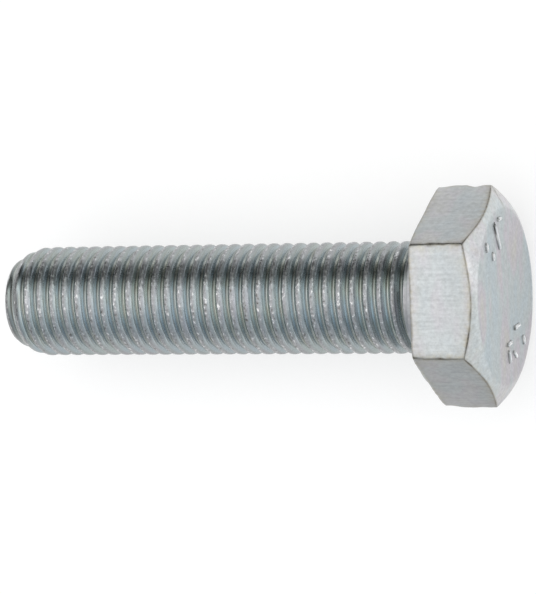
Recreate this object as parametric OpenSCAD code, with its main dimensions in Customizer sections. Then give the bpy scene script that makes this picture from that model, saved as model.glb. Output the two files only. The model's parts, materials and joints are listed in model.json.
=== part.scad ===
// Hex head bolt, threaded along its whole shank with a fine right-hand metric thread.
// The axis of the bolt is the X axis: the head is on the +X side and the tip on the -X side.
// The origin is the centre of the bearing face under the head.
// Two of the six wrench flats face straight up and straight down, as the bolt lies on a bench.

/* [Head] */
// Width across the wrench flats
across_flats = 17; // [16:0.1:18]
// Width across the corners, which are slightly rounded
across_corners = 19.3; // [18.6:0.1:20]
// Height of the head, from the bearing face to the top face
head_height = 6.4; // [5:0.1:8]
// Diameter of the flat top face inside its chamfer
top_face_d = 15.7; // [14:0.1:15.9]
// Angle of the chamfer round the top face, down from the face
chamfer_angle = 30; // [15:1:35]

/* [Bearing face and neck] */
// Diameter of the raised washer face that bears on the work
washer_face_d = 15.6; // [13:0.1:16]
// Height of the washer face below the hexagon
washer_face_h = 0.6; // [0.2:0.1:1]
// Diameter of the short plain neck between the head and the thread
neck_d = 9.6; // [9:0.1:9.9]
// Length of the plain neck
neck_length = 1.4; // [1:0.1:2]
// Radius of the fillet where the neck meets the bearing face
fillet_r = 0.6; // [0.3:0.1:0.8]

/* [Thread] */
// Length from the bearing face to the tip
bolt_length = 40; // [20:1:42]
// Diameter over the crests of the thread
major_d = 9.88; // [9.7:0.01:10]
// Pitch diameter of the thread
pitch_d = 9.1; // [9:0.01:9.2]
// Distance from one crest to the next
pitch = 1.25; // [1.25:0.25:1.5]
// Axial length over which the last groove runs out at the neck
run_out = 0.9; // [0.5:0.1:1.5]
// Diameter of the flat end of the tip
tip_d = 7.4; // [6.5:0.1:8]
// Axial length of the rounded chamfer at the tip
tip_chamfer = 3.2; // [1:0.1:3.5]

/* [Mesh] */
// Straight sides that stand for one turn of the thread
sides = 44; // [24:4:44]

/* [Hidden] */

head_r = across_corners / 2;
top_r = top_face_d / 2;
neck_r = neck_d / 2;
major_r = major_d / 2;
tip_r = tip_d / 2;

// A 60 degree thread: the flank rises this much radius for each millimetre along the axis
flank_rise = 1 / tan(30);
// Radius of the root, two thirds of the sharp thread's height below the crest side
root_r = pitch_d / 2 - pitch * flank_rise / 6;
// Half the width of the crest and of the root, along the axis
half_crest = pitch / 4 - (major_r - pitch_d / 2) / flank_rise;
half_root = pitch / 4 - (pitch_d / 2 - root_r) / flank_rise;

// The thread's mesh has these rows in each pitch: the two edges of a crest and of a root
row_at = [-half_crest, half_crest, pitch / 2 - half_root, pitch / 2 + half_root];
thread_start = -bolt_length;
thread_end = -neck_length;
// Pitches that are laid out past the two ends, so that the first and last rows lie on the end planes
spare_turns = 4;
turns = ceil((thread_end - thread_start) / pitch) + spare_turns;

// Lays a shape that was drawn along Z down along X
module along_x() {
    rotate([0, 90, 0]) children();
}

// Radius of the full thread, the distance u along the axis from the middle of a crest
function thread_r(u) =
    let (away = abs(u - pitch * round(u / pitch)))
    max(root_r, min(major_r, pitch_d / 2 + (pitch / 4 - away) * flank_rise));

// Radius that the rounded tip allows at x: a parabola from tip_r up to the crests
function tip_limit(x) =
    let (s = max(0, 1 - (x - thread_start) / tip_chamfer))
    tip_r + (major_r - tip_r) * (1 - s * s);

// Share of the full thread that is left at x, from 1 along the shank down to 0 at the neck
function left_of_thread(x) = min(1, max(0, (thread_end - x) / run_out));

// Radius of the finished shank at x, the distance u along the axis from the middle of a crest
function shank_r(x, u) =
    min(tip_limit(x), neck_r + (thread_r(u) - neck_r) * left_of_thread(x));

// Point of the row that starts u past the first crest, after it has turned through some sides.
// A right-hand row climbs one pitch towards the head in each turn from +Y through +Z.
function shank_point(u, side) =
    let (angle = 360 * side / sides)
    let (x = min(thread_end, max(thread_start, thread_start - pitch + u + pitch * side / sides)))
    let (r = shank_r(x, u))
    [x, r * cos(angle), r * sin(angle)];

module hex_prism() {
    translate([washer_face_h, 0, 0])
        along_x() rotate(30) cylinder(h = head_height - washer_face_h, d = across_flats / cos(30), $fn = 6);
}

// What the hexagon is cut back to: its rounded corners and the chamfer round the top face
module head_envelope() {
    chamfer_depth = (head_r - top_r) * tan(chamfer_angle);
    along_x() rotate_extrude($fn = 96)
        polygon([
            [0, 0],
            [head_r, 0],
            [head_r, head_height - chamfer_depth],
            [top_r, head_height],
            [0, head_height]
        ]);
}

// Plain neck with the fillet that flares out to the bearing face
module filleted_neck() {
    mirror([1, 0, 0]) along_x() rotate_extrude($fn = 96)
        difference() {
            union() {
                square([neck_r, neck_length]);
                square([neck_r + fillet_r, fillet_r]);
            }
            translate([neck_r + fillet_r, fillet_r]) circle(r = fillet_r, $fn = 48);
        }
}

module hex_head() {
    color("lightgray") union() {
        intersection() {
            hex_prism();
            head_envelope();
        }
        along_x() cylinder(h = washer_face_h, d = washer_face_d, $fn = 96);
        filleted_neck();
    }
}

module threaded_shank() {
    rows = len(row_at) * turns;
    points = [
        for (row = [0 : rows - 1], side = [0 : sides - 1])
            shank_point(row_at[row % len(row_at)] + pitch * floor(row / len(row_at)), side)
    ];
    // A full turn of a row ends where the same row of the next pitch begins
    function corner(row, side) =
        side < sides ? row * sides + side : (row + len(row_at)) * sides;
    walls = [
        for (row = [0 : rows - 2 - len(row_at)], side = [0 : sides - 1])
            [corner(row, side), corner(row, side + 1), corner(row + 1, side + 1), corner(row + 1, side)]
    ];
    tip = [for (side = [sides - 1 : -1 : 0]) corner(0, side)];
    neck = [for (side = [0 : sides - 1]) corner(rows - 1 - len(row_at), side)];
    color("silver") polyhedron(points = points, faces = concat([tip], walls, [neck]));
}

hex_head();
threaded_shank();
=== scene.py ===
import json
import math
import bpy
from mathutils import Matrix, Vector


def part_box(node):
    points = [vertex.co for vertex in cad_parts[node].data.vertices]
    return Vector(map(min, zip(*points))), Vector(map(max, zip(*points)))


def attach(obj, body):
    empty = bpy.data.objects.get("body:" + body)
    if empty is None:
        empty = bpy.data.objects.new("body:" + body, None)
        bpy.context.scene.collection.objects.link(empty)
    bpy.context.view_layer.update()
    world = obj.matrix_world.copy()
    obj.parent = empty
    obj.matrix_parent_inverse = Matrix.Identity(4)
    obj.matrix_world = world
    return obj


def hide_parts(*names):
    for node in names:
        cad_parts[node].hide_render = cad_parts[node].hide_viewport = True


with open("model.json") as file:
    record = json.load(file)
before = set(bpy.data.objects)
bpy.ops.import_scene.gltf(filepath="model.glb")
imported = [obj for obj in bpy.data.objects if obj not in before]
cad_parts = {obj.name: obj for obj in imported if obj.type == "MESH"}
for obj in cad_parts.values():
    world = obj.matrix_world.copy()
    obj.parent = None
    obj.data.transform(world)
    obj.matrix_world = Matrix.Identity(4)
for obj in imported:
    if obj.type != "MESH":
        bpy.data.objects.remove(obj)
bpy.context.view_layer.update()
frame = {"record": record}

# Zinc plated hex bolt, lying on a pale floor. Its axis is the X axis: the head is on the +X side.
# Lengths are in millimetres up to the point where a mesh, light or camera is made.

from types import SimpleNamespace

import bpy
import numpy as np
from mathutils import Matrix, Vector

MM = 0.001


# ---- Driving dimensions: from the frame's boxes and mounts where they hold them ----

head_low, head_high = (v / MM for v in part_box("hex_head"))
shank_low, shank_high = (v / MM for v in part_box("threaded_shank"))
mounts = {m["name"]: m for m in frame["record"]["mounts"]}

HEAD_TOP = head_high.x
FLAT_R = head_high.z
CORNER_R = head_high.y
TIP_X = shank_low.x
NECK_X = shank_high.x
MAJOR_R = mounts["thread"]["dims"]["r_mm"]
PITCH = 1.25
# The flanks stand 0.19 further out than on the CAD's standard thread, which makes the crests look broader
# and the grooves shallower
PITCH_R = 4.74
TOP_R = 7.79
CHAMFER = math.radians(30)
WASHER_R = 7.8
WASHER_H = 0.6
NECK_R = 4.8
FILLET_R = 0.6
END_R = 3.7
TIP_CHAMFER = 3.2

FLANK_RISE = 1 / math.tan(math.radians(30))
ROOT_R = PITCH_R - PITCH * FLANK_RISE / 6


# ---- Small helpers ----

def hat(t):
    """Smooth bump, 1 at t = 0 and 0 from |t| = 1 on."""
    t = np.clip(np.abs(t), 0, 1)
    return 1 - t * t * (3 - 2 * t)


def smooth_step(low, high, value):
    t = np.clip((value - low) / (high - low), 0, 1)
    return t * t * (3 - 2 * t)


def window(value, low, full_low, full_high, high):
    """1 from full_low to full_high, falling smoothly to 0 at low and at high."""
    return smooth_step(low, full_low, value) * (1 - smooth_step(full_high, high, value))


def soft_min(a, b, k):
    """The lower of a and b, rounded over about k where they cross."""
    h = np.clip(0.5 + 0.5 * (b - a) / k, 0, 1)
    return b + (a - b) * h - k * h * (1 - h)


def soft_max(a, b, k):
    return -soft_min(-a, -b, k)


def noise_2d(x, y, seed):
    """Smooth random values from -1 to 1 with features about 1 across."""
    size = 256
    table = np.random.default_rng(seed).uniform(-1, 1, (size, size))
    x, y = np.broadcast_arrays(np.asarray(x, float), np.asarray(y, float))
    i, j = np.floor(x).astype(int), np.floor(y).astype(int)
    u, v = x - i, y - j
    u, v = u * u * (3 - 2 * u), v * v * (3 - 2 * v)
    i0, i1, j0, j1 = i % size, (i + 1) % size, j % size, (j + 1) % size
    low = table[i0, j0] * (1 - u) + table[i1, j0] * u
    high = table[i0, j1] * (1 - u) + table[i1, j1] * u
    return low * (1 - v) + high * v


def new_piece(name, points, faces, material, attributes):
    """A smooth mesh object from points in millimetres."""
    mesh = bpy.data.meshes.new(name)
    mesh.from_pydata((np.asarray(points) * MM).tolist(), [], faces)
    mesh.polygons.foreach_set("use_smooth", [True] * len(mesh.polygons))
    for key, values in attributes.items():
        layer = mesh.attributes.new(key, "FLOAT", "POINT")
        layer.data.foreach_set("value", np.asarray(values, np.float32))
    mesh.update()
    piece = bpy.data.objects.new(name, mesh)
    piece.data.materials.append(material)
    bpy.context.scene.collection.objects.link(piece)
    return piece


def ring_faces(ids):
    """Quads between neighbouring rings of vertex numbers, closed all round."""
    faces = []
    for a, b in zip(ids[:-1], ids[1:]):
        a2, b2 = np.roll(a, -1), np.roll(b, -1)
        faces += np.stack([a, a2, b2, b], 1).tolist()
    return faces


def flipped(faces):
    """The same faces, seen from their other side."""
    return [list(reversed(face)) for face in faces]


def fan(pole, ring):
    """Triangles from a pole to each side of a ring of vertex numbers."""
    ring = [int(number) for number in ring]
    return [[int(pole), a, b] for a, b in zip(ring, ring[1:] + ring[:1])]


# ---- Materials ----

class Nodes:
    """Short ways to add shader nodes to a material or a world."""

    def __init__(self, tree):
        self.tree = tree
        tree.nodes.clear()

    def add(self, kind, **settings):
        node = self.tree.nodes.new(kind)
        for key, value in settings.items():
            setattr(node, key, value)
        return node

    def link(self, source, target):
        self.tree.links.new(source, target)

    def put(self, socket, value):
        """Sets a socket, or links it where value is another node's output."""
        if isinstance(value, bpy.types.NodeSocket):
            self.link(value, socket)
        else:
            socket.default_value = value

    def math(self, operation, a, b=0.0, clamp=False):
        node = self.add("ShaderNodeMath", operation=operation, use_clamp=clamp)
        self.put(node.inputs[0], a)
        self.put(node.inputs[1], b)
        return node.outputs[0]

    def mix(self, factor, a, b, blend="MIX"):
        node = self.add("ShaderNodeMix", data_type="RGBA", blend_type=blend)
        self.put(node.inputs["Factor"], factor)
        self.put(node.inputs[6], a)
        self.put(node.inputs[7], b)
        return node.outputs[2]

    def times(self, a, b):
        """One colour multiplied by another colour or by a number."""
        return self.mix(1.0, a, b, "MULTIPLY")

    def noise(self, vector, scale, detail=2.0, roughness=0.5):
        node = self.add("ShaderNodeTexNoise")
        self.link(vector, node.inputs["Vector"])
        node.inputs["Scale"].default_value = scale
        node.inputs["Detail"].default_value = detail
        node.inputs["Roughness"].default_value = roughness
        return node.outputs["Fac"]

    def patches(self, vector, scale, low, high, detail=2.0, roughness=0.5):
        """Noise on a range that starts at low and ends at high."""
        node = self.add("ShaderNodeMapRange")
        self.link(self.noise(vector, scale, detail, roughness), node.inputs["Value"])
        node.inputs["To Min"].default_value = low
        node.inputs["To Max"].default_value = high
        return node.outputs["Result"]

    def stretch(self, vector, scale):
        node = self.add("ShaderNodeMapping")
        self.link(vector, node.inputs["Vector"])
        node.inputs["Scale"].default_value = scale
        return node.outputs["Vector"]

    def ramp(self, factor, stops, interpolation="LINEAR"):
        node = self.add("ShaderNodeValToRGB")
        node.color_ramp.interpolation = interpolation
        elements = node.color_ramp.elements
        while len(elements) < len(stops):
            elements.new(0.5)
        for element, (at, colour) in zip(elements, stops):
            element.position = at
            element.color = colour
        self.link(factor, node.inputs["Fac"])
        return node.outputs["Color"]

    def attribute(self, name):
        return self.add("ShaderNodeAttribute", attribute_name=name).outputs["Fac"]

    def coordinate(self, name):
        return self.add("ShaderNodeTexCoord").outputs[name]

    def split(self, vector):
        node = self.add("ShaderNodeSeparateXYZ")
        self.link(vector, node.inputs[0])
        return node.outputs


def new_material(name):
    material = bpy.data.materials.new(name)
    material.use_nodes = True
    return material, Nodes(material.node_tree)


def grey(value, tint=(1, 1, 1)):
    return (value * tint[0], value * tint[1], value * tint[2], 1)


# Height in metres that a bump map's full range stands for
BUMP_DEPTH = 0.00003


def finish_metal(n, colour, roughness, height, bump_strength):
    """The metal shader itself, with its bump."""
    bump = n.add("ShaderNodeBump")
    bump.inputs["Strength"].default_value = bump_strength
    bump.inputs["Distance"].default_value = BUMP_DEPTH
    n.link(height, bump.inputs["Height"])
    shader = n.add("ShaderNodeBsdfPrincipled")
    shader.inputs["Metallic"].default_value = 1.0
    n.link(colour, shader.inputs["Base Color"])
    n.link(roughness, shader.inputs["Roughness"])
    n.link(bump.outputs["Normal"], shader.inputs["Normal"])
    n.link(shader.outputs[0], n.add("ShaderNodeOutputMaterial").inputs["Surface"])


# Brightness of the plate on the head, on the thread's crests and flanks, and in its grooves; the grooves'
# brighter plate is a painted reflection
ZINC = 0.57
THREAD_ZINC = 0.43
GROOVE_ZINC = 0.56


def zinc_head():
    """Bright zinc plate: satin, with a faint iridescent tint, drawing lines and a stained rim, with painted
    light and shade and a painted dark line of shade along the edges.
    """
    material, n = new_material("zinc_head")
    place = n.coordinate("Object")
    tint = n.ramp(n.noise(n.stretch(place, (1, 0.35, 1)), 420), [
        (0.34, grey(ZINC, (0.89, 1.01, 1.07))),
        (0.47, grey(ZINC, (0.94, 1.02, 1.03))),
        (0.56, grey(ZINC, (1.01, 0.965, 1.04))),
        (0.68, grey(ZINC, (1.02, 1.00, 0.96))),
    ])
    colour = n.mix(n.attribute("sheen"), grey(ZINC, (0.97, 1.0, 1.02)), tint)
    # A brownish stain in patches beside the edges
    stain = n.math("MULTIPLY", n.attribute("rim"), n.patches(place, 2400, -1.0, 2.2, 4, 0.7), clamp=True)
    colour = n.mix(stain, colour, grey(ZINC * 0.84, (1.06, 1.01, 0.86)))
    # Drawing lines along the bolt, and a fine mottle
    lines = n.noise(n.stretch(place, (0.08, 1, 1)), 4200, 3, 0.6)
    mottle = n.noise(place, 2600, 4, 0.7)
    uneven = n.math("ADD", n.math("MULTIPLY", lines, 0.36), n.math("MULTIPLY", mottle, 0.64))
    colour = n.times(colour, n.ramp(uneven, [(0.36, grey(0.86)), (0.62, grey(1.12))]))
    # Painted light and shade on the head, with some random unevenness, carried by the mesh
    colour = n.times(colour, n.attribute("tone"))
    # Painted shade: a dark line along the edges themselves, and round the foot of the marks, in patches
    painted_line_shade = n.math("MULTIPLY", n.attribute("line"), n.patches(place, 2600, -0.1, 1.9, 4, 0.7), clamp=True)
    colour = n.mix(painted_line_shade, colour, grey(0.12, (1.1, 1.0, 0.82)))
    grain = n.noise(place, 9000, 3, 0.6)
    dents = n.noise(place, 900, 4, 0.6)
    height = n.math("ADD", n.math("MULTIPLY", lines, 0.5), n.math("MULTIPLY", grain, 0.35))
    height = n.math("ADD", height, n.math("MULTIPLY", dents, 1.6))
    rough = n.patches(place, 1500, 0.28, 0.44, 5, 0.65)
    finish_metal(n, colour, rough, height, bump_strength=0.35)
    return material


# Shade of the thin lines near the root, from crest to crest as shares of the pitch
ROOT_LINES = (
    (0.0, 1.0), (0.37, 1.0), (0.39, 0.42), (0.412, 0.95), (0.438, 0.80), (0.458, 0.30), (0.482, 0.85),
    (0.515, 1.05), (0.54, 0.78), (0.565, 1.05), (0.75, 1.05), (0.85, 1.0),
)


def rolling_lines(n, place):
    """Noise that is long round the bolt and short across the groove, as the rolling dies draw it."""
    at = n.split(place)
    along = n.add("ShaderNodeCombineXYZ")
    n.link(n.math("MULTIPLY", n.attribute("across"), 16.0), along.inputs["X"])
    for axis in "YZ":
        n.link(n.math("MULTIPLY", at[axis], 220.0), along.inputs[axis])
    return n.noise(along.outputs[0], 1.0, 2, 0.6)


def root_lines_colour(n, place):
    """Colour of the thin lines at the root, which wander a little."""
    wander = n.math("MULTIPLY", n.noise(place, 1300), 0.05)
    shifted = n.math("SUBTRACT", n.math("ADD", n.attribute("across"), wander), 0.025)
    return n.ramp(n.math("MULTIPLY", shifted, 1 / PITCH), [
        (at, grey(shade, (1.1 - 0.1 * shade, 1.0, 0.8 + 0.2 * shade))) for at, shade in ROOT_LINES
    ])


def zinc_thread():
    """Zinc plate on the rolled thread: ragged crests with painted glints, smooth grooves with lines in a
    brighter blue-grey painted reflection, and painted light and shade.
    """
    material, n = new_material("zinc_thread")
    place = n.coordinate("Object")
    crest, groove = n.attribute("crest"), n.attribute("groove")
    tint = n.ramp(n.noise(place, 330), [
        (0.34, grey(THREAD_ZINC, (0.90, 1.02, 1.05))),
        (0.52, grey(THREAD_ZINC, (0.93, 1.02, 1.07))),
        (0.68, grey(THREAD_ZINC, (0.97, 0.99, 1.08))),
    ])
    # Painted reflection: the grooves are drawn in a brighter, bluer plate than the crests
    groove_painted_reflection = n.ramp(n.noise(place, 240), [
        (0.38, grey(GROOVE_ZINC, (0.89, 1.02, 1.05))),
        (0.56, grey(GROOVE_ZINC, (0.86, 1.01, 1.12))),
    ])
    colour = n.mix(groove, tint, groove_painted_reflection)
    brown = n.math("MULTIPLY", n.attribute("root"), n.patches(place, 700, 0.0, 0.7, 3, 0.6), clamp=True)
    colour = n.mix(brown, colour, grey(0.27, (1.12, 1.03, 0.88)))
    # Painted olive tint of the reflections
    colour = n.mix(n.attribute("painted_olive_tint"), colour, (1.04, 1.0, 0.92, 1), "MULTIPLY")
    drawn = rolling_lines(n, place)
    streak = n.ramp(drawn, [
        (0.34, grey(0.60, (1.10, 1.0, 0.86))),
        (0.46, grey(1.0)),
        (0.56, grey(1.0)),
        (0.68, grey(1.25, (1.03, 1.0, 0.93))),
    ])
    colour = n.mix(n.math("MULTIPLY", groove, 0.85), colour, n.times(colour, streak))
    colour = n.mix(n.patches(place, 420, 0.25, 1.1), colour, n.times(colour, root_lines_colour(n, place)))
    # Bright and dark specks on the ragged crests; the bright specks are painted glints
    speckle = n.noise(n.stretch(place, (1, 0.65, 0.65)), 5200, 2, 0.55)
    sparkle = n.ramp(speckle, [
        (0.29, grey(0.14, (1.08, 1.00, 0.92))),
        (0.40, grey(0.38, (0.98, 1.00, 1.02))),
        (0.59, grey(0.45, (0.98, 1.00, 1.04))),
        (0.70, grey(0.98)),
    ])
    colour = n.mix(crest, colour, sparkle)
    # Painted shade: a thin dark line on the flank that faces the tip, just behind each crest
    painted_flank_shade = n.math("MULTIPLY", n.attribute("seam_and_painted_shade"), n.patches(place, 1600, 0.2, 1.3, 3, 0.6), clamp=True)
    colour = n.mix(painted_flank_shade, colour, grey(0.16, (1.15, 1.0, 0.82)))
    # Painted light and shade across the groove and round the bolt, carried by the mesh
    colour = n.times(colour, n.attribute("tone"))
    coarse = n.math("MULTIPLY", n.math("MULTIPLY", speckle, crest), 3.5)
    height = n.math("ADD", n.math("MULTIPLY", n.math("MULTIPLY", drawn, groove), 0.9), coarse)
    rough = n.math("ADD", n.patches(place, 1200, 0.20, 0.34, 3, 0.6), n.math("MULTIPLY", crest, 0.02))
    finish_metal(n, colour, rough, height, bump_strength=0.5)
    return material


FLOOR_ALBEDO = 0.38
FLOOR_GLOW = 0.62
# Distance in metres from the bolt's axis at which the light table starts and stops fading, and what
# brightness is left there
FLOOR_FADE = ((0.035, 1.0), (0.12, 0.5))


def pale_floor():
    """Matt white paper with a faint tone variation, on a light table that glows through it."""
    material, n = new_material("pale_floor")
    place = n.coordinate("Object")
    paper = n.ramp(n.noise(place, 9, 3), [(0.3, grey(0.98)), (0.7, grey(1.0))])
    # The pool of light on the paper: long along the bolt, and fading away on its two sides
    away = n.add("ShaderNodeVectorMath", operation="LENGTH")
    n.link(n.stretch(place, (0.3, 1, 1)), away.inputs[0])
    fade = n.ramp(away.outputs["Value"], [(at, grey(left)) for at, left in FLOOR_FADE], "EASE")
    paper = n.times(paper, fade)
    shader = n.add("ShaderNodeBsdfPrincipled")
    n.link(paper, shader.inputs["Emission Color"])
    shader.inputs["Emission Strength"].default_value = FLOOR_GLOW
    shader.inputs["Roughness"].default_value = 0.9
    shader.inputs["Specular IOR Level"].default_value = 0.1
    n.link(n.times(paper, grey(FLOOR_ALBEDO)), shader.inputs["Base Color"])
    n.link(shader.outputs[0], n.add("ShaderNodeOutputMaterial").inputs["Surface"])
    return material


def glowing_backdrop():
    """Plain pale backdrop that glows, lighter upwards; it starts as bright as the far part of the floor."""
    material, n = new_material("glowing_backdrop")
    height = n.split(n.coordinate("Generated"))["Z"]
    shader = n.add("ShaderNodeEmission")
    n.link(n.ramp(height, [(0.0, grey(0.53)), (0.5, grey(0.80))], "EASE"), shader.inputs["Color"])
    n.link(shader.outputs[0], n.add("ShaderNodeOutputMaterial").inputs["Surface"])
    return material


# ---- Head ----

SECTOR = math.radians(60)
SECTOR_STEPS = 64
SIDE_RINGS = 56
# Radius by which places round the hexagon are turned from angles into millimetres
ROUND_R = 9.5
# How far the edges at the corners are rounded, and how far the hexagon's lower edge rises and falls
EDGE_R = 0.32
UNDER_RISE = 0.09
# How much further out each corner stands than the mean, from the one at +Y through +Z
CORNER_SPREAD = (0.03, 0.06, 0.08, -0.03, 0.0, 0.0)
# The corners are rounded as if the outline beside them sloped this much less than a plain hexagon's
CORNER_EASE = math.radians(7)
# The flats fall away towards the corners with this power of the distance from their middle
CROWN_POWER = 3.0
# Painted light and shade: how bright the plate is drawn on each flat, from the one between +Y and +Z
FLAT_PAINTED_LIGHT = (0.84, 1.03, 0.56, 0.8, 0.85, 0.8)
# Corner and flat: the strip of the flat beside that corner is drawn brighter, a painted highlight
PAINTED_HIGHLIGHT_STRIPS = ((1, 0), (2, 2))
# How strongly the painted dark line of shade shows along the edge at each corner, and how wide it is
CORNER_LINE = (0.6, 1.0, 0.85, 0.6, 0.6, 0.6)
CORNER_WIDTH = (0.10, 0.14, 0.09, 0.1, 0.1, 0.1)
# Knocks on the corners: corner number, place along the axis, depth and half length
NICKS = (
    (0, 3.85, 0.15, 0.9),
    (0, 2.0, -0.04, 1.1),
    (3, 1.2, 0.05, 1.0),
    (1, 5.3, 0.05, 0.4),
    (2, 4.6, 0.04, 0.3),
)


def hexagon_radius(angle):
    """Radius of the head's outline: six flats that fall away a little towards softly rounded corners."""
    half = SECTOR / 2
    from_flat = angle % SECTOR - half
    nearest = np.round(angle / SECTOR).astype(int) % 6
    ridge = CORNER_R + np.array(CORNER_SPREAD)[nearest] + 0.5 * EDGE_R * math.tan(half) ** 2
    across = ridge * math.sin(half)
    drop = FLAT_R - ridge * math.cos(half)
    r = FLAT_R / np.cos(from_flat)
    for _ in range(12):
        fall = drop * (np.abs(r * np.sin(from_flat)) / across) ** CROWN_POWER
        r = (FLAT_R - fall) / np.cos(from_flat)
    arc = ridge * (half - np.abs(from_flat))
    slope = math.tan(half - CORNER_EASE)
    width = EDGE_R * slope
    return r - slope * (np.sqrt(arc * arc + width * width) - arc)


def head_angles():
    """Angles round the head, close together at the corners."""
    t = (np.arange(SECTOR_STEPS) + 0.5) / SECTOR_STEPS * 2 - 1
    one = SECTOR / 2 * np.sin(t * math.pi / 2)
    return np.concatenate([math.radians(60 * k + 30) + one for k in range(6)])


def curve(start, corner, end, steps):
    """Rings on a rounded edge between two rings, with the sharp edge as control point."""
    rings = []
    for k in range(steps + 1):
        t = k / steps
        rings.append([
            (1 - t) ** 2 * a + 2 * t * (1 - t) * b + t * t * c
            for a, b, c in zip(start, corner, end)
        ])
    return rings


def straight(start, end, steps):
    """Rings between two rings, without the two themselves."""
    return [[a + (b - a) * k / steps for a, b in zip(start, end)] for k in range(1, steps)]


def head_rings(angle):
    """Radius and place along the axis of each ring, from the top face's middle to the neck's end."""
    one = np.ones_like(angle)
    outline = hexagon_radius(angle)
    top_r = TOP_R + 0.05 * noise_2d(angle * 3.2, 7, 11)
    arc_x = HEAD_TOP - (outline - top_r) * math.tan(CHAMFER)
    under_x = WASHER_H - UNDER_RISE * (1 + np.cos(angle))

    def cone(r):
        return [r, HEAD_TOP - (r - top_r) * math.tan(CHAMFER)]

    rim = curve([top_r - 0.5, HEAD_TOP * one], [top_r, HEAD_TOP * one], cone(top_r + 0.35), 8)
    soft = 0.10 + 0.03 * noise_2d(angle * 14, 0, 3)
    arc = curve(cone(outline - soft), [outline, arc_x], [outline, arc_x - soft], 5)
    low = 0.12 + 0.08 * np.abs(noise_2d(angle * 9, 4, 5))
    under = curve([outline, under_x + low], [outline, under_x], [outline - low * 1.4, under_x], 6)
    washer_r, inner_r = WASHER_R * one, (WASHER_R - 0.1) * one
    washer = curve([washer_r + 0.08, under_x], [washer_r, under_x], [washer_r, under_x - 0.08], 3)
    washer += curve([washer_r, 0.1 * one], [washer_r, 0 * one], [inner_r, 0 * one], 4)
    fillet = []
    for swing in np.linspace(0, math.pi / 2, 8):
        flare = NECK_R + FILLET_R * (1 - math.sin(swing))
        fillet.append([flare * one, -FILLET_R * (1 - math.cos(swing)) * one])
    neck, neck_x = NECK_R * one, NECK_X * one
    end = curve([neck, neck_x + 0.08], [neck, neck_x], [neck - 0.08, neck_x], 3)

    first = [0.02 * one, HEAD_TOP * one]
    rings = [first] + straight(first, rim[0], 30) + rim
    rings += straight(rim[-1], arc[0], 8) + arc
    side_start = len(rings)
    rings += straight(arc[-1], under[0], SIDE_RINGS)
    side_end = len(rings)
    rings += under + straight(under[-1], washer[0], 5) + washer
    rings += straight(washer[-1], fillet[0], 6) + fillet
    rings += straight(fillet[-1], end[0], 18) + end
    rings += [[0.5 * NECK_R * one, neck_x]]

    radius = np.array([r for r, _ in rings])
    x = np.array([x for _, x in rings])
    return SimpleNamespace(
        radius=radius, x=x, angle=np.broadcast_to(angle, radius.shape), outline=outline,
        arc_x=arc_x, under_x=under_x, side=slice(side_start, side_end),
    )


def worn_corners(at):
    """How far the hexagon's corners are worn back, most of all on the side of the washer face."""
    off_corner = np.abs(at.off_corner)
    worn = 0.12 * np.exp(-off_corner / 0.8) * (1 - smooth_step(WASHER_H, WASHER_H + 2.0, at.x))
    worn = worn + 0.02 * np.exp(-off_corner / 0.5) * noise_2d(at.x / 0.8, at.corner * 5.0, 25)
    for number, place, depth, half in NICKS:
        knock = (at.corner == number) * depth * hat((at.x - place) / half)
        worn = worn + knock * np.exp(-off_corner / 0.7)
    return worn * (at.x > WASHER_H - 0.3) * (at.radius > TOP_R + 0.1)


def edge_stain_and_painted_shade(at):
    """The stain beside the hexagon's edges, and a painted dark line of shade along them."""
    to_corner = np.abs(at.off_corner + 0.05 * noise_2d(at.x / 0.45, at.corner * 7.0, 30))
    to_under = np.abs(at.x - at.under_x) + np.maximum(at.outline - at.radius, 0) * 0.5
    near = np.minimum(np.minimum(to_corner, np.abs(at.x - at.arc_x)), to_under)
    outside = (at.x > at.under_x - 0.01) & (at.radius > TOP_R - 0.2)
    stain = np.exp(-near / 0.28) * outside
    stain = np.clip(stain + 0.35 * np.exp(-near / 0.7) * outside, 0, 1)
    stain = stain * np.where(at.x > at.arc_x + 0.05, 0.35, 1)

    patchy = 0.8 + 0.45 * noise_2d(at.round / 0.9, at.x / 0.8, 27)
    above = np.maximum(at.x - at.arc_x, 0) / math.sin(CHAMFER)
    below = np.maximum(at.arc_x - at.x, 0)
    line = 0.95 * np.exp(-(((above + below) / (0.07 + 0.03 * patchy)) ** 2)) * outside
    width = np.array(CORNER_WIDTH)[at.corner] * (1 + 0.45 * noise_2d(at.x / 0.6, at.corner * 3.0, 34))
    at_corner = np.array(CORNER_LINE)[at.corner] * np.exp(-((to_corner / width) ** 2))
    line = np.maximum(line, at_corner * (at.x < at.arc_x) * (at.x > WASHER_H + 0.02))
    return stain, np.clip(line * patchy, 0, 1)


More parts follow.
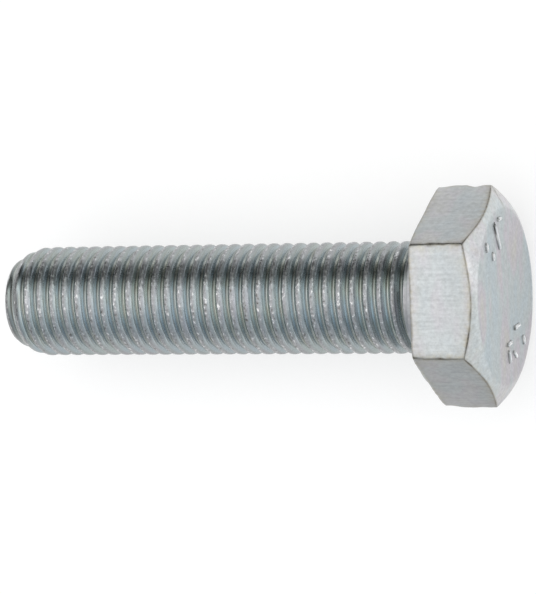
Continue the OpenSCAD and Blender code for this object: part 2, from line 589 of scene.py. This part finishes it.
def head_painted_light_and_sheen(at):
    """How bright the plate is drawn on the flats, the chamfer, the top face and the neck, as painted light
    and shade with some random unevenness, and its sheen.
    """
    sector = np.floor(at.angle / SECTOR).astype(int) % 6
    tone = np.where(at.x < at.arc_x, np.array(FLAT_PAINTED_LIGHT)[sector], 1)
    uneven = 0.03 * noise_2d(at.round / 1.6, at.x / 1.4, 42) + 0.02 * noise_2d(at.round / 0.5, at.x / 0.5, 43)
    # Painted highlight: a brighter strip on the flat beside some corners
    in_strip = sum((at.corner == corner) & (sector == flat) for corner, flat in PAINTED_HIGHLIGHT_STRIPS)
    beside = np.exp(-np.abs(at.off_corner) / 1.1) * in_strip
    tone = tone * (1.03 - 0.05 * smooth_step(WASHER_H, HEAD_TOP - 1.5, at.x) + uneven + 0.14 * beside)

    # Painted light: the chamfer and the top face are drawn lighter towards +Y, and the chamfer brightest, as
    # a painted highlight, beside the flat that faces up, on the +Y side
    sideways = at.y / TOP_R
    cone_painted_light = 1.10 - 0.08 * sideways ** 2 + 0.09 * sideways
    lit = hat((sideways - 0.38) / 0.42) * (at.z > 0) * smooth_step(0.9, 0.1, (at.x - at.arc_x) / 0.9)
    cone_painted_light = cone_painted_light + 0.42 * lit
    face_painted_light = 0.87 + 0.03 * sideways + 0.035 * at.z / TOP_R
    on_rim = smooth_step(TOP_R - 0.2, TOP_R + 0.08, at.radius)
    tone = np.where((at.x > at.arc_x) & (at.radius > TOP_R - 0.1), cone_painted_light, tone)
    tone = np.where(at.x > HEAD_TOP - 0.1, face_painted_light + (cone_painted_light - face_painted_light) * on_rim, tone)

    # Painted shade: the underside, the washer face, the fillet and the neck are drawn darker
    row = np.arange(len(at.x))[:, None] + 0 * at.angle
    tone = np.where(row >= at.side.stop, 0.74, tone)
    tone = np.where(at.x < -0.05, 0.80 + 0.14 * noise_2d(at.angle * 2, at.x / 0.09, 29), tone)
    return tone, np.where(at.x > at.arc_x, 1 - 0.4 * on_rim, 0.4)


def build_head(material):
    angle = head_angles()
    at = head_rings(angle)
    at.round = at.angle * ROUND_R
    at.off_corner = CORNER_R * ((at.angle + SECTOR / 2) % SECTOR - SECTOR / 2)
    at.corner = np.round(at.angle / SECTOR).astype(int) % 6
    ridges = 0.012 * noise_2d(at.angle * 1.2, at.x / 0.11, 22)
    at.radius = at.radius + ridges * (at.x < -FILLET_R)
    at.radius = at.radius - worn_corners(at)
    at.y, at.z = at.radius * np.cos(at.angle), at.radius * np.sin(at.angle)

    # Faint unevenness from forging: the top face and the flats aren't dead flat
    on_face = smooth_step(TOP_R, TOP_R - 1.2, at.radius) * (at.x > HEAD_TOP - 0.2)
    at.x = at.x + on_face * (0.015 * noise_2d(at.y / 2.6, at.z / 2.6, 21) - 0.02)
    bumps = 0.012 * noise_2d(at.round / 1.4, at.x / 1.7, 23)
    bumps = bumps + 0.004 * noise_2d(at.round / 0.35, at.x / 0.5, 24)
    on_side = np.zeros_like(at.radius)
    on_side[at.side] = 1
    bulge = on_side * hat((at.x - (HEAD_TOP + WASHER_H) / 2 + 0.4) / 3.2) * bumps
    scale = 1 + bulge / np.maximum(at.radius, 1)
    at.y, at.z = at.y * scale, at.z * scale

    stain, line = edge_stain_and_painted_shade(at)
    tone, sheen = head_painted_light_and_sheen(at)
    points = np.stack([at.x, at.y, at.z], -1).reshape(-1, 3)
    ids = np.arange(len(points)).reshape(at.x.shape)
    top_pole, neck_pole = len(points), len(points) + 1
    points = np.vstack([points, [[at.x[0].mean(), 0, 0], [NECK_X, 0, 0]]])
    faces = flipped(ring_faces(ids)) + fan(top_pole, ids[0]) + fan(neck_pole, ids[-1][::-1])
    marks = {"rim": stain, "line": line, "tone": tone, "sheen": sheen}
    marks = {key: np.append(value.ravel(), [0, 0]) for key, value in marks.items()}
    return new_piece("head_forging", points, faces, material, marks)


# ---- Thread ----

SIDES = 240
# Where the mesh has rows between a crest and the middle of the next root, as shares of the pitch
HALF_ROWS = (0.035, 0.075, 0.12, 0.165, 0.21, 0.28, 0.37, 0.42, 0.46)
# Where the first crest stands beyond the tip, on the +Y side
CREST_PHASE = -0.08
# Length of the rounded rim of the end face
END_EDGE = 0.06
# The tip's outline is this power of the distance from the full thread
TIP_CURVE = 2.0
# Lengths before the neck on which the crests come down to it and the last root rises, and how high
CREST_RUN_OUT = 0.7
ROOT_RUN_OUT = 0.55
LAST_ROOT_R = 4.45
# The end face inside its rounded rim: share of the end's radius, and depth below the end plane
END_FACE = (
    (0.985, 0.025), (0.965, 0.006), (0.93, 0), (0.85, 0.02),
    (0.7, 0.05), (0.5, 0.09), (0.3, 0.12), (0.12, 0.13),
)
END_DISH = 0.13
# Brightness of the plate on the two ends, which have no other marks
END_TONE = 0.85

# Painted light and shade across the groove and round the bolt. Each row holds the amount, the place
# ahead of a crest and its half width, and the window in which the row counts. The window is on the
# level, which is 1 at +Y, 0 halfway to -Y and -1 at -Y.
ALL_ROUND = (-3, -2, 2, 3)
NOT_AT_SIDES = (-0.85, -0.62, 0.62, 0.85)
PAINTED_SHINE = (
    # Behind the crest and on it
    (-0.30, -0.06, 0.20, (0.24, 0.44, 0.44, 0.64)),
    (-0.09, -0.08, 0.20, NOT_AT_SIDES),
    (0.14, -0.07, 0.25, (-0.60, -0.38, -0.38, -0.16)),
    (-0.16, -0.05, 0.18, (-0.02, 0.28, 0.28, 0.58)),
    (0.85, 0.06, 0.13, (0.47, 0.58, 0.74, 0.86)),
    (0.35, 0.12, 0.10, (0.47, 0.57, 0.57, 0.67)),
    (0.25, 0.16, 0.14, (0.17, 0.45, 0.45, 0.73)),
    # On the flank that faces the head
    (0.60, 0.20, 0.13, (0.17, 0.31, 0.31, 0.45)),
    (-0.75, 0.235, 0.13, (0.455, 0.655, 0.655, 0.855)),
    (-0.40, 0.24, 0.10, (0.45, 0.56, 0.56, 0.67)),
    (-0.34, 0.24, 0.12, (-0.77, -0.60, -0.60, -0.43)),
    (-0.30, 0.27, 0.07, (0.46, 0.56, 0.56, 0.66)),
    (0.26, 0.31, 0.17, NOT_AT_SIDES),
    (-0.30, 0.31, 0.10, (0.62, 0.74, 0.74, 0.86)),
    # In the groove
    (0.12, 0.35, 0.20, (-0.60, -0.30, -0.30, 0.0)),
    (0.36, 0.40, 0.11, (0.29, 0.46, 0.46, 0.63)),
    (0.50, 0.42, 0.08, (0.0, 0.30, 0.30, 0.60)),
    (-0.10, 0.42, 0.30, (0.62, 0.85, 2, 3)),
    (-0.10, 0.42, 0.30, (-3, -2, -0.85, -0.62)),
    (0.25, 0.48, 0.20, (0.53, 0.66, 0.66, 0.79)),
    (-0.20, 0.48, 0.20, (0.27, 0.44, 0.44, 0.61)),
    (-0.20, 0.50, 0.08, (-0.85, -0.60, -0.60, -0.35)),
    (-0.42, 0.53, 0.09, (-0.20, 0.30, 0.50, 0.62)),
    (-0.42, 0.54, 0.09, (0.17, 0.30, 0.30, 0.43)),
    (-0.20, 0.54, 0.09, (-0.10, 0.20, 0.20, 0.50)),
    (-0.14, 0.58, 0.14, ALL_ROUND),
    # On the flank that faces the tip
    (1.00, 0.63, 0.18, (0.48, 0.66, 0.76, 0.88)),
    (0.20, 0.63, 0.08, (-3, -2, 0.15, 0.30)),
    (0.20, 0.70, 0.12, (-0.85, -0.60, -0.60, -0.35)),
    (0.34, 0.74, 0.22, (-0.60, -0.30, -0.30, 0.0)),
    (0.12, 0.75, 0.20, (-0.50, 0.0, 0.0, 0.50)),
    (-0.12, 0.78, 0.22, (0.10, 0.40, 0.40, 0.70)),
)
# Painted shade on the first crests behind the tip, and a painted highlight on the next one: amount,
# distance from the tip and its half width, middle of the level and its half width
TIP_PAINTED_SHINE = (
    (-0.58, 1.65, 0.34, 0.0, 0.6),
    (-0.35, 0.72, 0.32, 0.0, 0.6),
    (0.35, 2.75, 0.20, 0.1, 0.5),
)


def thread_radius(u, along):
    """Radius of the rolled thread, u along the axis from a crest and along the helix by that length."""
    ahead = u - PITCH * np.round(u / PITCH)
    away = np.abs(ahead)
    flank = PITCH_R + (PITCH / 4 - away) * FLANK_RISE
    ragged = noise_2d(along / 0.55, 3, 31) * 0.6 + noise_2d(along / 0.23, 9, 32) * 0.4
    top = MAJOR_R + 0.03 + 0.035 * ragged
    # The side towards the head is the rounder one
    r = soft_min(flank, top, 0.18 + 0.18 * smooth_step(-0.1, 0.14, ahead))
    r = soft_max(r, ROOT_R + 0.01, 0.14)
    # A thin seam dent along the middle of each crest
    seam_and_painted_shade = np.exp(-((away / 0.045) ** 2)) * (0.015 + 0.03 * noise_2d(along / 0.8, 5, 33))
    return r - np.maximum(seam_and_painted_shade, 0)


def tip_radius(from_tip):
    """Radius that the rounded tip allows at a distance from its end."""
    s = np.clip(1 - from_tip / TIP_CHAMFER, 0, 1)
    return END_R + (MAJOR_R - END_R) * (1 - s ** TIP_CURVE)


def cut_ends(r, u, turn, x):
    """The rounded tip, and the last groove, which runs out against the neck."""
    from_tip = x - TIP_X
    limit = tip_radius(from_tip) + 0.012 * noise_2d(turn * 24, x / 0.6, 35)
    groove = 0.5 - 0.5 * np.cos(2 * math.pi * u / PITCH)
    limit = limit - 0.18 * groove * window(from_tip, 0.02, 0.6, 1.6, 3.0)
    r = soft_min(r, limit, 0.05)
    leaving = smooth_step(NECK_X - CREST_RUN_OUT, NECK_X, x)
    r = soft_min(r, MAJOR_R + (NECK_R - 0.02 - MAJOR_R) * leaving, 0.03)
    last = NECK_X - ROOT_RUN_OUT
    root = ROOT_R + (LAST_ROOT_R - ROOT_R) * smooth_step(last, NECK_X, x)
    return np.where(x > last, np.maximum(r, root), r)


def near_tip(x):
    """1 on the end of the tip, and 0 from 1.9 mm behind it on."""
    return 1 - smooth_step(0.8, 1.9, x - TIP_X)


def thread_painted_light(ahead, level, x):
    """Painted light and shade on the plate, from the place ahead of a crest, the level and the place along
    the axis.
    """
    # Painted shade towards the sides at +Y and -Y
    tone = 1 - np.where(level > 0, 0.15, 0.26) * level ** 2
    for amount, place, half, where in PAINTED_SHINE:
        gap = ahead - place
        gap = gap - PITCH * np.round(gap / PITCH)
        tone = tone * (1 + amount * hat(gap / half) * window(level, *where))
    from_tip = x - TIP_X
    # Painted shade on the end of the tip
    tone = tone * (1 - 0.36 * near_tip(x))
    for amount, place, half, middle, spread in TIP_PAINTED_SHINE:
        tone = tone * (1 + amount * hat((from_tip - place) / half) * hat((level - middle) / spread))
    # Painted shade in the last groove, beside the neck
    return tone * (1 - 0.4 * smooth_step(NECK_X - 0.95, NECK_X - 0.8, x) * hat(level / 0.7))


def thread_marks(u, helix, level, x):
    """What the thread's material reads, at each point: where it is on the profile, and the painted light and
    shade on it.
    """
    ahead = (u - PITCH * np.floor(u / PITCH)) + 0 * x
    behind = ahead - PITCH * np.round(ahead / PITCH)
    wander = 0.03 * noise_2d(helix / 0.7, 2, 36) + 0.02 * noise_2d(helix / 0.25, 6, 37)
    at_sides = smooth_step(0.62, 0.85, np.abs(level))
    # Painted olive tint of the reflections
    painted_olive_tint = np.maximum(hat((ahead - 0.66) / 0.28), np.maximum(0.5 * at_sides, 0.8 * near_tip(x)))
    return {
        "painted_olive_tint": np.maximum(painted_olive_tint, hat((level - 0.12) / 0.42) * hat((ahead - 0.38) / 0.2)),
        "crest": window(behind + wander, -0.26, -0.19, 0.0, 0.24),
        "root": hat((ahead - PITCH / 2) / 0.16),
        "groove": window(ahead, 0.20, 0.34, 0.90, 1.0),
        # Painted shade: a thin dark line on the flank that faces the tip, just behind each crest
        "seam_and_painted_shade": 0.65 * hat((behind + 0.31) / 0.12),
        "across": ahead,
        "tone": thread_painted_light(ahead, level, x),
    }


def wall_faces(ids, per_pitch):
    """Faces between the rows of the helix: a full turn of a row ends where its next pitch begins."""
    faces = []
    for row in range(len(ids) - per_pitch - 1):
        a, b = ids[row], ids[row + 1]
        a2 = np.append(a[1:], ids[row + per_pitch][0])
        b2 = np.append(b[1:], ids[row + 1 + per_pitch][0])
        for quad in np.stack([a, a2, b2, b], 1).tolist():
            corners = list(dict.fromkeys(quad))
            if len(corners) > 2:
                faces.append(corners)
    return faces


def build_thread(material):
    fractions = [0.0] + list(HALF_ROWS) + [0.5] + [1 - f for f in reversed(HALF_ROWS)]
    per_pitch = len(fractions)
    spare_turns = 3
    rows = per_pitch * (math.ceil((NECK_X - TIP_X) / PITCH) + spare_turns)
    u = np.array([fractions[k % per_pitch] + k // per_pitch for k in range(rows)])[:, None] * PITCH
    side = np.arange(SIDES)[None, :]
    turn = side / SIDES
    start, end = TIP_X + END_EDGE, NECK_X
    x = TIP_X + CREST_PHASE - PITCH + u + PITCH * side / SIDES
    helix = 2 * math.pi * MAJOR_R * (turn + np.round(u / PITCH))
    r = cut_ends(thread_radius(u + 0 * side, helix), u, turn, x)

    # Points beyond the two ends all stand for a point on the tip's ring or on the neck's ring
    angle = 2 * math.pi * side / SIDES + 0 * u
    inside = (x > start) & (x < end)
    count = int(inside.sum())
    ids = np.full(x.shape, -1)
    ids[inside] = np.arange(count)
    tip_ring = count + np.arange(SIDES)
    neck_ring = tip_ring + SIDES
    ids = np.where(x <= start, tip_ring[None, :], np.where(x >= end, neck_ring[None, :], ids))
    round_angle = 2 * math.pi * np.arange(SIDES) / SIDES

    def circle(at, radius):
        radius = radius + 0 * round_angle
        return np.stack([at + 0 * radius, radius * np.cos(round_angle), radius * np.sin(round_angle)], -1)

    first_out = np.argmax(x >= end, axis=0)
    end_r = r[first_out, np.arange(SIDES)]
    points = [np.stack([x, r * np.cos(angle), r * np.sin(angle)], -1)[inside]]
    points += [circle(start, tip_radius(END_EDGE)), circle(end, np.minimum(end_r, NECK_R - 0.05))]

    # The end face: a rounded rim and a slightly dished, rough disc
    end_rings = [tip_ring]
    for share, depth in END_FACE:
        rough = noise_2d(share * 9 * np.cos(round_angle), share * 9 * np.sin(round_angle), 41)
        rough = np.abs(0.02 * rough * (share < 0.9))
        points.append(circle(TIP_X + depth + rough, share * END_R))
        end_rings.append(int(neck_ring[-1]) + 1 + (len(end_rings) - 1) * SIDES + np.arange(SIDES))
    points = np.vstack(points + [[[TIP_X + END_DISH, 0, 0], [end, 0, 0]]])

    tip_pole, neck_pole = len(points) - 2, len(points) - 1
    faces = wall_faces(ids, per_pitch) + flipped(ring_faces(end_rings))
    faces += fan(tip_pole, end_rings[-1][::-1]) + fan(neck_pole, neck_ring)
    marks = thread_marks(u, helix, np.cos(angle), x)
    ends = np.zeros(len(points) - count)
    marks = {key: np.append(value[inside], ends) for key, value in marks.items()}
    marks["tone"][count:] = END_TONE
    return new_piece("rolled_thread", points, faces, material, marks)


# ---- Raised forging marks on the head, plain bars and pips that say nothing ----

# Each bar: middle (y, z), direction in degrees from +Y, length and width
MARKS = (
    (5.25, 2.15, 32, 2.5, 0.34),
    (4.40, 5.05, 10, 0.8, 0.42),
    (6.75, 1.45, 100, 0.9, 0.38),
    (3.55, 3.35, 0, 0.8, 0.40),
    (-2.75, -2.85, 100, 1.5, 0.38),
    (-4.05, -4.70, 20, 0.9, 0.42),
    (-4.15, -0.65, 105, 1.2, 0.38),
    (-5.30, -0.60, 15, 1.1, 0.40),
    (-5.15, -2.20, 60, 1.0, 0.38),
)
MARK_H = 0.16
MARK_SINK = 0.05
MARK_AROUND = 28
MARK_RINGS = 7
# Brightness at the foot of a mark and how much it gains by the top, as a painted highlight
MARK_TONE, MARK_PAINTED_HIGHLIGHT = 1.1, 0.8


def build_marks(material):
    points, faces, tone, painted_line_shade = [], [], [], []
    for number, (y, z, turn, length, width) in enumerate(MARKS):
        turn = math.radians(turn)
        base = len(points)
        for k in range(MARK_RINGS):
            t = k / MARK_RINGS
            size = 1 - 0.75 * t ** 1.5
            height = HEAD_TOP - MARK_SINK + (MARK_H + MARK_SINK) * math.sin(t * math.pi / 2)
            for j in range(MARK_AROUND):
                a = 2 * math.pi * j / MARK_AROUND
                p = math.cos(a) * width / 2
                q = math.sin(a) * width / 2 + math.copysign(max(length - width, 0) / 2, math.sin(a))
                wobble = 1 + 0.22 * float(noise_2d(a * 3.1, number * 3.7 + t, 51))
                p, q = p * size * wobble, q * (1 - (1 - size) * width / max(length, width)) * wobble
                # Painted highlight brightening towards the mark's top, and painted shade round its foot
                tone.append(MARK_TONE + MARK_PAINTED_HIGHLIGHT * t)
                painted_line_shade.append(0.9 * (1 - t) ** 2)
                points.append((
                    height,
                    y + q * math.cos(turn) - p * math.sin(turn),
                    z + q * math.sin(turn) + p * math.cos(turn),
                ))
        ids = base + np.arange(MARK_RINGS * MARK_AROUND).reshape(MARK_RINGS, MARK_AROUND)
        pole = len(points)
        points += [(HEAD_TOP + MARK_H, y, z), (HEAD_TOP - MARK_SINK, y, z)]
        tone += [MARK_TONE + MARK_PAINTED_HIGHLIGHT, 1]
        painted_line_shade += [0, 0]
        faces += flipped(ring_faces(ids)) + fan(pole, ids[-1]) + fan(pole + 1, ids[0][::-1])
    return new_piece("head_marks", points, faces, material, {"tone": tone, "line": painted_line_shade})


# ---- Stage, light and camera ----

# Half the floor's side and the backdrop's radius, in metres
FLOOR_SIZE = 1.5
BACKDROP_R = 1.2
# Keeps the slightly uneven flat that the bolt lies on from breaking through the floor
FLOOR_GAP = 0.02


def build_floor():
    low = (head_low.z - FLOOR_GAP) * MM
    corners = [(x * FLOOR_SIZE, y * FLOOR_SIZE, low) for x, y in ((-1, -1), (1, -1), (1, 1), (-1, 1))]
    mesh = bpy.data.meshes.new("floor")
    mesh.from_pydata(corners, [], [(0, 1, 2, 3)])
    floor = bpy.data.objects.new("floor", mesh)
    floor.data.materials.append(pale_floor())
    bpy.context.scene.collection.objects.link(floor)


def build_backdrop():
    """A dome round the stage that only the camera sees, so that the bolt's reflections don't change."""
    around, rows = 96, 24
    radius = BACKDROP_R / MM
    turn = np.linspace(0, 2 * math.pi, around, endpoint=False)
    points = []
    for k in range(rows):
        rise = math.pi / 2 * k / rows
        ring = [radius * math.cos(rise) * np.cos(turn), radius * math.cos(rise) * np.sin(turn)]
        points.append(np.stack(ring + [head_low.z + radius * math.sin(rise) + 0 * turn], -1))
    points = np.vstack(points + [[[0, 0, head_low.z + radius]]])
    ids = np.arange(rows * around).reshape(rows, around)
    faces = flipped(ring_faces(ids)) + fan(rows * around, ids[-1][::-1])
    dome = new_piece("backdrop", points, faces, glowing_backdrop(), {})
    dome.visible_diffuse = False
    dome.visible_glossy = False
    dome.visible_transmission = False
    dome.visible_shadow = False


# The room by its angle round the bolt's axis, from the +Y horizon over the top: brightness and tint
NEUTRAL, COOL, GREEN = (1, 1, 1), (0.92, 1.0, 1.05), (0.99, 1.03, 0.99)
ROOM = (
    (-180, 1.00, NEUTRAL), (-90, 0.95, NEUTRAL), (-8, 0.40, NEUTRAL), (0, 0.15, NEUTRAL), (10, 0.07, GREEN),
    (24, 0.03, GREEN), (38, 0.18, GREEN), (52, 0.84, GREEN), (64, 1.00, NEUTRAL), (90, 0.97, NEUTRAL),
    (114, 0.70, NEUTRAL), (136, 0.49, COOL), (165, 0.48, COOL), (180, 0.90, NEUTRAL),
)
ROOM_TOP = 1.2
ROOM_STRENGTH = 1.25
# The camera's reflection: the cosines at which it starts and is full, its strength and its brightness
SPOT_START, SPOT_FULL = 1 - 0.10 / 3, 1 - 0.10 / 16
SPOT_SHARE = 0.30
SPOT_GREY = 0.05


def build_world(view_back):
    world = bpy.data.worlds.new("studio")
    bpy.context.scene.world = world
    world.use_nodes = True
    n = Nodes(world.node_tree)
    way = n.coordinate("Generated")
    parts = n.split(way)
    turn = n.math("ARCTAN2", parts["Z"], parts["Y"])
    share = n.math("ADD", n.math("MULTIPLY", turn, 1 / (2 * math.pi)), 0.5)
    band = n.ramp(share, [((deg + 180) / 360, grey(v / ROOM_TOP, tint)) for deg, v, tint in ROOM], "EASE")
    # The camera stands in the light and shows as a faint soft spot in the reflections
    dot = n.add("ShaderNodeVectorMath", operation="DOT_PRODUCT")
    n.link(way, dot.inputs[0])
    dot.inputs[1].default_value = view_back
    spot = n.add("ShaderNodeMapRange", interpolation_type="SMOOTHSTEP")
    n.link(dot.outputs["Value"], spot.inputs["Value"])
    spot.inputs["From Min"].default_value = SPOT_START
    spot.inputs["From Max"].default_value = SPOT_FULL
    band = n.mix(n.math("MULTIPLY", spot.outputs["Result"], SPOT_SHARE), band, grey(SPOT_GREY))
    sky = n.add("ShaderNodeBackground")
    n.link(band, sky.inputs["Color"])
    sky.inputs["Strength"].default_value = ROOM_TOP * ROOM_STRENGTH
    n.link(sky.outputs[0], n.add("ShaderNodeOutputWorld").inputs["Surface"])


FLOOR_LIGHT = 1.0
FLOOR_LIGHT_SPREAD = math.radians(100)


def build_floor_light():
    """A very soft overhead light that lifts the floor and leaves the room's reflections as they are."""
    data = bpy.data.lights.new("overhead", "SUN")
    data.energy = FLOOR_LIGHT
    data.angle = FLOOR_LIGHT_SPREAD
    light = bpy.data.objects.new("overhead", data)
    light.location = (0, 0, 0.5)
    light.visible_glossy = False
    bpy.context.scene.collection.objects.link(light)


# The camera looks down on the bolt, turned towards the head and leaning a little towards +Y
YAW = math.radians(21.96)
LEAN = math.radians(-2.615)
ROLL = math.radians(-0.606)
AIM = Vector((-15.79, 0.165, 0))
DISTANCE = 295.9
LENS = 201.76


def build_camera():
    """Makes the scene's camera and returns the direction from the bolt back to it."""
    turn = Matrix.Rotation(LEAN, 3, "X") @ Matrix.Rotation(YAW, 3, "Y") @ Matrix.Rotation(ROLL, 3, "Z")
    back = turn @ Vector((0, 0, 1))
    data = bpy.data.cameras.new("camera")
    data.lens = LENS
    data.sensor_width = 36
    data.clip_start, data.clip_end = 0.01, 10
    camera = bpy.data.objects.new("camera", data)
    camera.matrix_world = Matrix.Translation((AIM + back * DISTANCE) * MM) @ turn.to_4x4()
    bpy.context.scene.collection.objects.link(camera)
    bpy.context.scene.camera = camera
    return back


# ---- Build ----

head_material = zinc_head()
head = build_head(head_material)
marks = build_marks(head_material)
thread = build_thread(zinc_thread())

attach(head, "root")
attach(marks, "root")
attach(thread, "root")
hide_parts("hex_head")
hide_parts("threaded_shank")

build_floor()
build_backdrop()
build_world(build_camera())
build_floor_light()
bpy.context.scene.view_settings.view_transform = "Standard"
